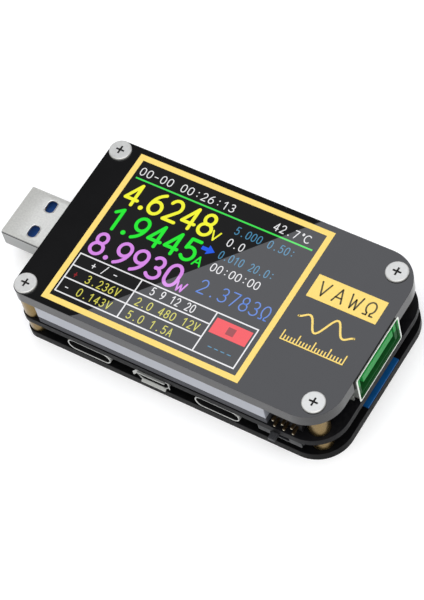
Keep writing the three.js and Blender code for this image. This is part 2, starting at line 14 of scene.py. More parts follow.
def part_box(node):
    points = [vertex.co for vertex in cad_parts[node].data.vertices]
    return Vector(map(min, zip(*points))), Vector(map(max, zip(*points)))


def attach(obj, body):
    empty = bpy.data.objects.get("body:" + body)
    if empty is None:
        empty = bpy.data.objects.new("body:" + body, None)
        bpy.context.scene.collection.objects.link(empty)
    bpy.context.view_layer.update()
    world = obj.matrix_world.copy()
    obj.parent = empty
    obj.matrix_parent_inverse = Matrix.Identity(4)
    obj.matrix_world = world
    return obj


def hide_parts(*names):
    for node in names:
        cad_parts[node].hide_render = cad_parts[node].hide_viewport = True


MM = 0.001

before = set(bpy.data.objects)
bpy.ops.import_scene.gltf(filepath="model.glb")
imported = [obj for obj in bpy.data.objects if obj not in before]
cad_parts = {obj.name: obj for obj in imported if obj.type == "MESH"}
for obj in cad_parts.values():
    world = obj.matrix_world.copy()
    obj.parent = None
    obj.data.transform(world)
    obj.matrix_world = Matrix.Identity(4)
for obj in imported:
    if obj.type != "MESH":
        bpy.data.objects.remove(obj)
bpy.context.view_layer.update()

# ---------------------------------------------------------------- camera, floor and light

CAMERA_AZIMUTH = 45.45
CAMERA_ELEVATION = 56.05
CAMERA_ROLL = -16.77
CAMERA_AIM = (-1.7, -1.0, 8.0)
CAMERA_DISTANCE = 484.0
LENS_MM = 151.7

CARD_HEIGHT = 1200.0
CARD_SIZE = (1100.0, 760.0)
CARD_RADIANCE = 1.78
CARD_TINT = (0.96, 0.98, 1.05)
FILL_PLACE = (420.0, -420.0, 1250.0)
FILL_SIZE = (1400.0, 1400.0)
FILL_RADIANCE = 1.35
# Where the card's edge is mirrored in the panel: a point near each long side
CARD_EDGE = ((-20.24, -19.3), (11.74, 19.27))

WORLD_LEVEL = 0.72
WORLD_HORIZON = 0.22
HORIZON_TOP = 0.55
WORLD_DARK = 0.10
DARK_RADIUS = 24.0
DARK_FEATHER = 12.0
FLOOR_SIZE_M = 6.0
FLOOR_GLOW = 0.22


def camera_axes():
    """The camera's right, up and back directions."""
    azimuth = math.radians(CAMERA_AZIMUTH)
    elevation = math.radians(CAMERA_ELEVATION)
    across = math.cos(elevation)
    back = Vector((math.sin(azimuth) * across, -math.cos(azimuth) * across, math.sin(elevation)))
    level = Vector((0, 0, 1)).cross(back).normalized()
    turn = Matrix.Rotation(math.radians(CAMERA_ROLL), 3, back)
    right = turn @ level
    return right, back.cross(right), back


def add_camera():
    right, up, back = camera_axes()
    data = bpy.data.cameras.new("camera")
    data.lens = LENS_MM
    data.clip_start = 0.05
    data.clip_end = 20.0
    made = bpy.data.objects.new("camera", data)
    place = Vector(CAMERA_AIM) + back * CAMERA_DISTANCE
    made.matrix_world = Matrix.Translation(place * MM) @ Matrix((right, up, back)).transposed().to_4x4()
    bpy.context.scene.collection.objects.link(made)
    bpy.context.scene.camera = made
    return place


def add_soft_light(name, place, turn, size, radiance, tint=(1, 1, 1)):
    """A rectangular area light of an even radiance. size is in millimetres."""
    data = bpy.data.lights.new(name, "AREA")
    data.shape = "RECTANGLE"
    data.size = size[0] * MM
    data.size_y = size[1] * MM
    data.energy = radiance * 4 * data.size * data.size_y
    data.color = tint
    made = bpy.data.objects.new(name, data)
    made.matrix_world = Matrix.Translation(Vector(place) * MM) @ turn.to_4x4()
    bpy.context.scene.collection.objects.link(made)


def facing(place, target=(0.0, 0.0, 8.0)):
    """The turn that points a light at a place towards a target."""
    return (Vector(target) - Vector(place)).to_track_quat("-Z", "Y").to_matrix()


def add_card(camera_place, panel_top):
    """The overhead softbox, with one straight edge that shows as a line across the glossy panel."""
    mirrored = Vector((camera_place.x, camera_place.y, 2 * panel_top - camera_place.z))
    ends = []
    for x, y in CARD_EDGE:
        ray = Vector((x, y, panel_top)) - mirrored
        ends.append(mirrored + ray * ((CARD_HEIGHT - mirrored.z) / ray.z))
    along = (ends[1] - ends[0]).normalized()
    inwards = Vector((along.y, -along.x, 0))
    centre = (ends[0] + ends[1]) / 2 + inwards * CARD_SIZE[1] / 2
    turn = Matrix.Rotation(math.atan2(along.y, along.x), 3, "Z")
    add_soft_light("overhead_card", centre, turn, CARD_SIZE, CARD_RADIANCE, CARD_TINT)


def add_world():
    """Even studio light, with a dark patch where the panel would mirror it to the camera."""
    world = bpy.data.worlds.new("studio")
    world.use_nodes = True
    tree = world.node_tree
    back = camera_axes()[2]
    patch = Vector((-back.x, -back.y, back.z))
    direction = tree.nodes.new("ShaderNodeTexCoord")
    height = add_node(tree, "ShaderNodeSeparateXYZ", Vector=direction.outputs["Generated"]).outputs["Z"]
    sky = remap(tree, height, WORLD_HORIZON, WORLD_LEVEL, 0.0, HORIZON_TOP)
    closeness = tree.nodes.new("ShaderNodeVectorMath")
    closeness.operation = "DOT_PRODUCT"
    closeness.inputs[1].default_value = patch
    tree.links.new(direction.outputs["Generated"], closeness.inputs[0])
    value = closeness.outputs["Value"]
    level = add_node(tree, "ShaderNodeMapRange", Value=value, To_Min=sky, To_Max=WORLD_DARK)
    level.interpolation_type = "SMOOTHSTEP"
    level.inputs["From Min"].default_value = math.cos(math.radians(DARK_RADIUS + DARK_FEATHER))
    level.inputs["From Max"].default_value = math.cos(math.radians(DARK_RADIUS))
    tree.nodes["Background"].inputs["Color"].default_value = (1, 1, 1, 1)
    tree.links.new(level.outputs["Result"], tree.nodes["Background"].inputs["Strength"])
    bpy.context.scene.world = world


# ---------------------------------------------------------------- materials

# How many times finer a surface's grain is than its clouding, and how deep it is
GRAIN_FINENESS = 4.0
GRAIN_DEPTH = 0.05
# The display's own light, and the cells per metre of its faint mottling
SCREEN_STRENGTH = 1.0
SCREEN_MOTTLE = 7000.0


def linear(red, green, blue):
    """A colour stated in 0 to 255 display values, as linear light with alpha."""

    def channel(value):
        share = value / 255
        return share / 12.92 if share <= 0.04045 else ((share + 0.055) / 1.055) ** 2.4

    return channel(red), channel(green), channel(blue), 1.0


def scaled(colour, factor):
    return tuple(min(1.0, value * factor) for value in colour[:3]) + (1.0,)


def add_node(tree, kind, **inputs):
    """A new node, with each named input linked if it is given a socket, or set if it is given a value."""
    node = tree.nodes.new(kind)
    for name, value in inputs.items():
        socket = node.inputs[name.replace("_", " ")]
        if isinstance(value, bpy.types.NodeSocket):
            tree.links.new(value, socket)
        else:
            socket.default_value = value
    return node


def noise(tree, scale, stretch=(1, 1, 1), detail=3.0):
    """Noise over the object's own coordinates. scale is in cells per metre."""
    coordinates = add_node(tree, "ShaderNodeTexCoord").outputs["Object"]
    mapping = add_node(tree, "ShaderNodeMapping", Vector=coordinates, Scale=stretch)
    made = add_node(tree, "ShaderNodeTexNoise", Vector=mapping.outputs["Vector"], Scale=scale, Detail=detail)
    return made.outputs["Fac"]


def ramp(tree, value, dark, light, low=0.32, high=0.68):
    """Blends from one colour to another as a value goes from low to high."""
    made = add_node(tree, "ShaderNodeValToRGB", Fac=value)
    made.color_ramp.elements[0].position = low
    made.color_ramp.elements[0].color = dark
    made.color_ramp.elements[1].position = high
    made.color_ramp.elements[1].color = light
    return made.outputs["Color"]


def remap(tree, value, low, high, start=0.3, end=0.7):
    made = add_node(
        tree, "ShaderNodeMapRange", Value=value, From_Min=start, From_Max=end, To_Min=low, To_Max=high
    )
    return made.outputs["Result"]


def surface(
    name,
    colour,
    roughness,
    metallic=0.0,
    tint=0.10,
    spread=0.06,
    scale=900.0,
    stretch=(1, 1, 1),
    bump=0.0,
    specular=0.5,
    glow=0.0,
):
    """A moulded, plated or painted material. Noise varies its colour and roughness, and raises a grain."""
    made = bpy.data.materials.new(name)
    made.use_nodes = True
    tree = made.node_tree
    shader = tree.nodes["Principled BSDF"]
    shader.inputs["Metallic"].default_value = metallic
    shader.inputs["Specular IOR Level"].default_value = specular
    cloud = noise(tree, scale, stretch)
    mottled = ramp(tree, cloud, scaled(colour, 1 - tint), scaled(colour, 1 + tint))
    tree.links.new(mottled, shader.inputs["Base Color"])
    # A glow gives the surface light of its own, though it is no lamp: painted light.
    if glow:
        shader.inputs["Emission Color"].default_value = colour
        shader.inputs["Emission Strength"].default_value = glow
    rough = remap(tree, cloud, max(0.0, roughness - spread), roughness + spread)
    tree.links.new(rough, shader.inputs["Roughness"])
    if bump:
        grain = noise(tree, scale * GRAIN_FINENESS, stretch, detail=5.0)
        relief = add_node(tree, "ShaderNodeBump", Strength=bump, Distance=GRAIN_DEPTH * MM, Height=grain)
        tree.links.new(relief.outputs["Normal"], shader.inputs["Normal"])
    return made


def lit(name, colour):
    """A colour shown by the display: a faintly mottled glow behind the panel's gloss."""
    made = surface(name, scaled(colour, 0.02), 0.004, spread=0.002)
    tree = made.node_tree
    shader = tree.nodes["Principled BSDF"]
    shader.inputs["Emission Strength"].default_value = SCREEN_STRENGTH
    mottle = noise(tree, SCREEN_MOTTLE)
    tree.links.new(ramp(tree, mottle, scaled(colour, 0.93), colour), shader.inputs["Emission Color"])
    return made


def paint_shade_below(material, level, share):
    """Paints shade on a moulding below a height, where its own tongue keeps the light off. Its glow is
    darkened the same way.
    """
    tree = material.node_tree
    shader = tree.nodes["Principled BSDF"]
    colour = shader.inputs["Base Color"].links[0].from_socket
    coordinates = add_node(tree, "ShaderNodeTexCoord").outputs["Object"]
    height = add_node(tree, "ShaderNodeSeparateXYZ", Vector=coordinates).outputs["Z"]
    factor = remap(tree, height, share, 1.0, (level - 0.06) * MM, level * MM)
    shaded = tree.nodes.new("ShaderNodeVectorMath")
    shaded.operation = "SCALE"
    tree.links.new(colour, shaded.inputs[0])
    tree.links.new(factor, shaded.inputs["Scale"])
    tree.links.new(shaded.outputs["Vector"], shader.inputs["Base Color"])
    tree.links.new(shaded.outputs["Vector"], shader.inputs["Emission Color"])


def ribbon_material():
    """Amber film with copper tracks that run across its width."""
    made = surface("amber_film", linear(170, 104, 44), 0.35, scale=1500.0)
    tree = made.node_tree
    shader = tree.nodes["Principled BSDF"]
    coordinates = add_node(tree, "ShaderNodeTexCoord").outputs["Object"]
    bands = add_node(tree, "ShaderNodeTexWave", Vector=coordinates, Scale=620.0, Distortion=0.0)
    bands.bands_direction = "Y"
    tracks = ramp(tree, bands.outputs["Fac"], linear(120, 66, 26), linear(206, 138, 66), 0.42, 0.58)
    tree.links.new(tracks, shader.inputs["Base Color"])
    return made


# The underside of the tongue in the USB-A socket
TONGUE_LOW = 12.03

ACRYLIC = surface("smoked_acrylic", linear(17, 17, 18), 0.004, tint=0.12, spread=0.002, scale=140.0)
SOLDER_MASK = surface("black_solder_mask", linear(20, 20, 22), 0.40, tint=0.16, bump=0.10, specular=0.06)
LAMINATE = surface("black_laminate", linear(14, 14, 15), 0.34, tint=0.15, bump=0.10, specular=0.04)
SCREW_STEEL = surface(
    "bright_zinc", linear(198, 198, 195), 0.38, metallic=0.55, tint=0.05, scale=1600.0, bump=0.08
)
BRASS = surface(
    "turned_brass",
    linear(131, 110, 69),
    0.28,
    metallic=0.95,
    tint=0.05,
    scale=300.0,
    stretch=(1, 1, 30),
    bump=0.04,
)
BAND_SILVER = surface("silver_moulding", linear(168, 171, 179), 0.48, tint=0.03, bump=0.05)
DARK_GLASS = surface("display_glass", linear(18, 20, 24), 0.05, spread=0.02)
FOAM_GREY = surface("grey_foam", linear(70, 71, 76), 0.75, tint=0.10, scale=2500.0, bump=0.3, specular=0.3)
AMBER_FILM = ribbon_material()
IVORY = surface("ivory_moulding", linear(228, 224, 212), 0.45, tint=0.04)
PLUG_STEEL = surface(
    "satin_nickel", linear(212, 212, 207), 0.42, metallic=0.55, tint=0.07, scale=2600.0, bump=0.16
)
# A darker copy of the plug's nickel: painted shade for the shell's side faces.
PLUG_SIDE_SHADE = surface(
    "nickel_painted_side_shade", linear(158, 159, 158), 0.45, metallic=0.5, tint=0.06, scale=2600.0, bump=0.12
)
PLUG_BLUE = surface("blue_moulding", linear(30, 78, 150), 0.42, tint=0.08)
SOCKET_STEEL = surface(
    "bright_nickel", linear(226, 230, 223), 0.3, metallic=0.6, tint=0.03, spread=0.02, scale=420.0
)
# The green moulding has a painted glow, though it is no lamp, and painted shade below the tongue's underside.
SOCKET_GREEN = surface("green_moulding", linear(32, 134, 60), 0.5, tint=0.05, specular=0.2, glow=0.2)
paint_shade_below(SOCKET_GREEN, TONGUE_LOW, 0.26)
PAD_BLUE = surface("blue_sheet", linear(0, 76, 134), 0.55, tint=0.08, scale=600.0, specular=0.2)
PORT_GREY = surface(
    "dull_nickel", linear(186, 187, 184), 0.3, metallic=0.7, tint=0.04, spread=0.02, scale=420.0
)
PORT_STEEL = surface(
    "port_nickel", linear(196, 197, 194), 0.3, metallic=0.7, tint=0.03, spread=0.02, scale=420.0
)
# Painted shade for recesses and seams.
RECESS_SHADE = surface("recess_painted_shade", linear(52, 52, 52), 0.5, metallic=0.3, tint=0.15, specular=0.2)
# The socket's green, darkened as painted shade, for the shell's inner faces below the tongue.
SOCKET_GREEN_SHADE = surface("green_painted_shade", linear(15, 74, 30), 0.35, metallic=0.2, tint=0.1, specular=0.2)
# Near-black painted shade for the insides of the small ports.
PORT_SHADE = surface("port_painted_shade", linear(16, 16, 17), 0.6, tint=0.15, bump=0.1, specular=0.2)
# A dark gold of painted shade for the contacts deep in the small ports.
CONTACT_SHADE = surface("contact_painted_shade", linear(70, 58, 34), 0.5, metallic=0.4, tint=0.1, specular=0.3)
BLACK_MOULDING = surface("black_moulding", linear(22, 22, 24), 0.5, tint=0.12, bump=0.08, specular=0.35)
SWITCH_METAL = surface("dark_plated_steel", linear(34, 35, 38), 0.4, metallic=0.4, tint=0.1, bump=0.06)
KNOB_GREY = surface("dark_grey_moulding", linear(44, 45, 48), 0.5, tint=0.08, bump=0.08)
PIN_GOLD = surface("gold_flash", linear(218, 184, 102), 0.22, metallic=1.0, tint=0.06, scale=2400.0)
# The pin ends are paler and less metallic than the gold.
PIN_BRIGHT = surface("pale_pin_end", linear(186, 178, 156), 0.35, metallic=0.7, tint=0.08, scale=2400.0)
# A darker copy of the gold: painted shade for the header's pins.
PIN_GOLD_SHADE = surface("gold_painted_shade", linear(70, 56, 36), 0.35, metallic=0.8, tint=0.12, scale=2400.0)
KEY_STEEL = surface(
    "pressed_steel", linear(186, 187, 184), 0.34, metallic=0.85, tint=0.06, scale=1200.0, stretch=(1, 6, 1)
)
CHIP_BLACK = surface("moulded_package", linear(30, 30, 32), 0.6, tint=0.12, scale=2600.0, bump=0.2)
CERAMIC = surface("coated_ceramic", linear(26, 26, 28), 0.35, tint=0.10)
FERRITE = surface("pressed_ferrite", linear(78, 78, 82), 0.65, tint=0.14, scale=2600.0, bump=0.25)
TIN = surface("tinned_copper", linear(205, 205, 202), 0.3, metallic=0.9, tint=0.08, scale=1500.0)

GOLD_PRINT = surface("gold_print", linear(237, 206, 106), 0.35, tint=0.02, spread=0.04, scale=1500.0)
DARK_PRINT = surface("dark_print", linear(72, 64, 34), 0.45, tint=0.08, scale=1500.0)
SCREEN_BLACK = lit("screen_black", linear(30, 30, 31))
WHITE_LIGHT = lit("white_light", linear(238, 238, 240))
GREEN_LINE = lit("green_line_light", linear(70, 228, 88))
YELLOW_LIGHT = lit("yellow_light", linear(246, 246, 62))
GREEN_LIGHT = lit("green_light", linear(44, 236, 58))
VIOLET_LIGHT = lit("violet_light", linear(217, 140, 233))
BLUE_LIGHT = lit("blue_light", linear(84, 128, 214))
ARROW_LIGHT = lit("arrow_light", linear(42, 96, 236))
TEAL_LIGHT = lit("teal_light", linear(78, 140, 176))
OLIVE_LIGHT = lit("pale_yellow_light", linear(214, 210, 92))
RED_LIGHT = lit("red_light", linear(240, 66, 74))
DARK_RED_LIGHT = lit("dark_red_light", linear(150, 40, 46))

# ---------------------------------------------------------------- shape helpers

# Faces that meet at more than this are at a sharp edge
SHARP_DEGREES = 38.0
# A CAD node's facets that meet at less than this are one face, and points this close are one point
FLAT_DEGREES = 0.5
WELD_DISTANCE = 0.0005


def span(node):
    """The x, y and z ranges of a CAD node, in millimetres."""
    low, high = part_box(node)
    return [(low[i] / MM, high[i] / MM) for i in range(3)]


def middle(extent):
    return (extent[0] + extent[1]) / 2


def grown(extent, by):
    return extent[0] - by, extent[1] + by


def arc(cx, cy, rx, ry, start, end, step=15.0):
    """Points along an elliptical arc, between two angles in degrees."""
    count = max(2, math.ceil(abs(end - start) / step))
    angles = [math.radians(start + (end - start) * i / count) for i in range(count + 1)]
    return [(cx + rx * math.cos(a), cy + ry * math.sin(a)) for a in angles]


def rounded(u, v, r, step=15.0):
    """The outline of a rectangle with round corners."""
    r = max(r, 0.01)
    centres = [(u[1] - r, v[1] - r), (u[0] + r, v[1] - r), (u[0] + r, v[0] + r), (u[1] - r, v[0] + r)]
    return [point for i, (a, b) in enumerate(centres) for point in arc(a, b, r, r, 90 * i, 90 * i + 90, step)]


def circle(cx, cy, r, count=48):
    return arc(cx, cy, r, r, 0, 360, 360 / count)[:-1]


AXES = {"x": lambda u, v, w: (w, u, v), "y": lambda u, v, w: (u, w, v), "z": lambda u, v, w: (u, v, w)}


def placed(outline, w, axis):
    """An outline as a loop of points at height w along an axis. Outlines along x are drawn in y and z."""
    return [AXES[axis](u, v, w) for u, v in outline]


def loft(loops, ring=False):
    """A skin over loops with equal counts. It is closed by a cap at each end, or as a ring."""
    count = len(loops[0])
    points = [point for loop in loops for point in loop]
    faces = []
    pairs = len(loops) if ring else len(loops) - 1
    for i in range(pairs):
        a = i * count
        b = (i + 1) % len(loops) * count
        for j in range(count):
            k = (j + 1) % count
            faces.append([a + j, a + k, b + k, b + j])
    if not ring:
        faces.append(list(range(count))[::-1])
        faces.append([(len(loops) - 1) * count + j for j in range(count)])
    return points, faces


def block(x, y, z, chamfer=0.0):
    """A box between ranges, with its top and bottom edges taken off where chamfer is given."""
    if not chamfer:
        return loft([placed(corners(x, y), w, "z") for w in z])
    stations = [(z[0], chamfer), (z[0] + chamfer, 0), (z[1] - chamfer, 0), (z[1], chamfer)]
    return loft([placed(rounded(grown(x, -i), grown(y, -i), chamfer, 45), w, "z") for w, i in stations])


def lathe(profile, x, y, count=48):
    """A body of revolution about a vertical axis, from (radius, height) pairs that run up."""
    return loft([placed(circle(x, y, r, count), z, "z") for r, z in profile])


def flat(outline, z):
    """A flat print, facing up."""
    return placed(outline, z, "z"), [list(range(len(outline)))]


def sheet_with_hole(outline, hole, z):
    """A flat face with one hole in it."""
    loops = [[Vector((u, v, z)) for u, v in loop] for loop in (outline, hole)]
    points = [tuple(point) for loop in loops for point in loop]
    return points, [list(face) for face in tessellate_polygon(loops)]


def shape(name, parts, material):
    """An object made of parts, which are pairs of points and faces."""
    points, faces = [], []
    for part_points, part_faces in parts:
        start = len(points)
        points += part_points
        faces += [[start + i for i in face] for face in part_faces]
    mesh = bpy.data.meshes.new(name)
    mesh.from_pydata([Vector(point) * MM for point in points], [], faces)
    mesh.materials.append(material)
    made = bpy.data.objects.new(name, mesh)
    bpy.context.scene.collection.objects.link(made)
    return made


def smooth(mesh):
    mesh.shade_smooth()
    mesh.set_sharp_from_angle(angle=math.radians(SHARP_DEGREES))


def soften(made, width):
    """Rounds the sharp edges, so that they catch the light."""
    bevel = made.modifiers.new("rounded_edges", "BEVEL")
    bevel.width = width * MM
    bevel.segments = 2
    bevel.limit_method = "ANGLE"
    bevel.angle_limit = math.radians(SHARP_DEGREES)
    flatten = made.modifiers.new("flat_faces", "WEIGHTED_NORMAL")
    flatten.keep_sharp = True


def shade_inside(made, material, inner):
    """Gives a second material, painted shade, to the faces whose indices are inner."""
    made.data.materials.append(material)
    for i in inner:
        made.data.polygons[i].material_index = 1


def piece(name, parts, material, body="chassis", instead_of=(), bevel=0.0):
    """A visible piece that rides on a body, smooth except at its sharp edges."""
    made = shape(name, parts, material)
    smooth(made.data)
    if bevel:
        soften(made, bevel)
    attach(made, body)
    if instead_of:
        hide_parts(*instead_of)
    return made


def cut_away(made, parts):
    """Cuts closed parts out of a shape for good."""
    tool = shape("tool", parts, made.data.materials[0])
    cutter = made.modifiers.new("cut", "BOOLEAN")
    cutter.object = tool
    cutter.solver = "EXACT"
    bpy.context.view_layer.update()
    whole = made.evaluated_get(bpy.context.evaluated_depsgraph_get())
    cut_mesh = bpy.data.meshes.new_from_object(whole)
    made.modifiers.remove(cutter)
    made.data = cut_mesh
    smooth(cut_mesh)
    bpy.data.objects.remove(tool)


def finish_node(node, material, bevel):
    """Gives a CAD node its material and rounds its edges. Its flat facets are merged first."""
    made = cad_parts[node]
    made.data.materials.clear()
    made.data.materials.append(material)
    made.data.shade_smooth()
    weld = made.modifiers.new("weld", "WELD")
    weld.merge_threshold = WELD_DISTANCE * MM
    merge = made.modifiers.new("merge_facets", "DECIMATE")
    merge.decimate_type = "DISSOLVE"
    merge.angle_limit = math.radians(FLAT_DEGREES)
    soften(made, bevel)


# ---------------------------------------------------------------- strokes and figures

GLYPH_WIDTH = 0.62
CORNER_DEGREES = 35.0


def curve(start, control, end, count=8):
    """Points along a quadratic curve."""
    found = []
    for i in range(count + 1):
        t = i / count
        weights = ((1 - t) ** 2, 2 * t * (1 - t), t * t)
        found.append(tuple(sum(w * p[k] for w, p in zip(weights, (start, control, end))) for k in (0, 1)))
    return found


def glyph_strokes():
    """Stroke centre lines of figures and unit signs, in a cell 0.62 wide and 1 high."""
    six = [arc(0.31, 0.30, 0.30, 0.30, 0, 360), curve((0.01, 0.32), (0.04, 0.80), (0.48, 1.0))]
    nine = [[(GLYPH_WIDTH - u, 1 - v) for u, v in path] for path in six]
    five = [(0.07, 0.55)] + arc(0.29, 0.32, 0.31, 0.31, 118, -145)
    horseshoe = arc(0.31, 0.57, 0.30, 0.43, 248, -68)
    nought = arc(0.31, 0.64, 0.30, 0.36, 0, 180) + arc(0.31, 0.36, 0.30, 0.36, 180, 360)
    return {
        "0": [nought + nought[:1]],
        "1": [[(0.08, 0.78), (0.38, 1.0), (0.38, 0.0)]],
        "2": [arc(0.31, 0.70, 0.28, 0.30, 160, -38) + [(0.03, 0.0), (0.61, 0.0)]],
        "3": [arc(0.29, 0.75, 0.26, 0.25, 145, -90), arc(0.28, 0.26, 0.32, 0.26, 90, -150)],
        "4": [[(0.46, 0.0), (0.46, 1.0), (0.0, 0.27), (0.62, 0.27)]],
        "5": [[(0.56, 1.0), (0.12, 1.0), (0.07, 0.55)], five],
        "6": six,
        "7": [[(0.02, 1.0), (0.60, 1.0), (0.22, 0.0)]],
        "8": [arc(0.31, 0.76, 0.24, 0.24, 0, 360), arc(0.31, 0.27, 0.30, 0.27, 0, 360)],
        "9": nine,
        "-": [[(0.08, 0.44), (0.54, 0.44)]],
        "+": [[(0.06, 0.44), (0.56, 0.44)], [(0.31, 0.16), (0.31, 0.72)]],
        "/": [[(0.06, -0.04), (0.56, 1.04)]],
        "V": [[(0.0, 1.0), (0.31, 0.0), (0.62, 1.0)]],
        "A": [[(0.0, 0.0), (0.31, 1.0), (0.62, 0.0)], [(0.12, 0.34), (0.50, 0.34)]],
        "W": [[(-0.06, 1.0), (0.14, 0.0), (0.31, 0.72), (0.48, 0.0), (0.68, 1.0)]],
        "C": [arc(0.34, 0.50, 0.33, 0.50, 48, 312)],
        "ohm": [[(0.0, 0.0), (0.20, 0.0)] + horseshoe + [(0.42, 0.0), (0.62, 0.0)]],
        "degree": [arc(0.14, 0.86, 0.13, 0.13, 0, 360)],
        " ": [],
    }


GLYPHS = glyph_strokes()
DOTS = {".": (0.08,), ":": (0.22, 0.70)}


def smooth_runs(path):
    """Splits a path at its corners, so that each run bends gently."""
    runs = [[path[0]]]
    for i in range(1, len(path)):
        runs[-1].append(path[i])
        if i + 1 < len(path):
            before = Vector(path[i]) - Vector(path[i - 1])
            after = Vector(path[i + 1]) - Vector(path[i])
            if before.length and after.length and math.degrees(before.angle(after)) > CORNER_DEGREES:
                runs.append([path[i]])
    return runs


def stroke(path, width, z):
    """A flat line of even width along a path, with round ends and corners."""
    parts = []
    for run in smooth_runs([p for i, p in enumerate(path) if i == 0 or p != path[i - 1]]):
        left, right = [], []
        for i, point in enumerate(run):
            ahead = Vector(run[min(i + 1, len(run) - 1)]) - Vector(run[max(i - 1, 0)])
            side = Vector((-ahead.y, ahead.x)).normalized() * width / 2
            left.append((point[0] + side.x, point[1] + side.y))
            right.append((point[0] - side.x, point[1] - side.y))
        for i in range(len(run) - 1):
            parts.append(flat([right[i], right[i + 1], left[i + 1], left[i]], z))
        for point in (run[0], run[-1]):
            parts.append(flat(circle(point[0], point[1], width / 2, 14), z))
    return parts


def write(text, x, y, height, pitch, width, line, z, dot_pitch=None):
    """Figures in a row. text is a string or a list of signs; x and y are the first cell's low corner."""
    parts = []
    for sign in text:
        if sign in DOTS:
            step = dot_pitch or pitch
            for level in DOTS[sign]:
                dot = circle(x + step * 0.42, y + height * level + line * 0.2, line * 0.72, 16)
                parts.append(flat(dot, z))
            x += step
            continue
        for path in GLYPHS[sign]:
            across = (width - line) / GLYPH_WIDTH
            up = height - line
            parts += stroke([(x + line / 2 + u * across, y + line / 2 + v * up) for u, v in path], line, z)
        x += pitch
    return parts


def corners(x, y):
    return [(x[0], y[0]), (x[1], y[0]), (x[1], y[1]), (x[0], y[1])]


def bar(x, y, z):
    return flat(corners(x, y), z)


def border(x, y, width, z):
    """A flat rectangular frame whose outside edges are at x and y."""
    outer = corners(x, y)
    inner = corners(grown(x, -width), grown(y, -width))
    return [flat([outer[i], outer[(i + 1) % 4], inner[(i + 1) % 4], inner[i]], z) for i in range(4)]


# ---------------------------------------------------------------- the lit display and the panel's print

SCREEN_LIFT = 0.02
MARK_LIFT = 0.04
TOP_MARK_LIFT = 0.06

FRAME_X = (-28.35, 15.85)
FRAME_Y = (-18.25, 18.3)
FRAME_LINE = 1.22

BIG_HEIGHT, BIG_PITCH, BIG_WIDTH, BIG_LINE, BIG_DOT_PITCH = 5.5, 3.82, 3.46, 0.72, 1.6
READING_X = -26.2
UNIT_X = -5.9
SMALL_HEIGHT, SMALL_PITCH, SMALL_WIDTH, SMALL_LINE = 1.9, 1.16, 0.92, 0.2
TABLE_X = (-26.75, 13.65)
TABLE_Y = (-16.0, -6.5)
TABLE_LINE = 0.27
TABLE_ROWS = (-9.5, -12.55)
TABLE_COLUMNS = (-12.4, 4.5)


def small(text, x, y, z, pitch=SMALL_PITCH, width=SMALL_WIDTH):
    """Figures at the display's small size."""
    return write(text, x, y, SMALL_HEIGHT, pitch, width, SMALL_LINE, z)


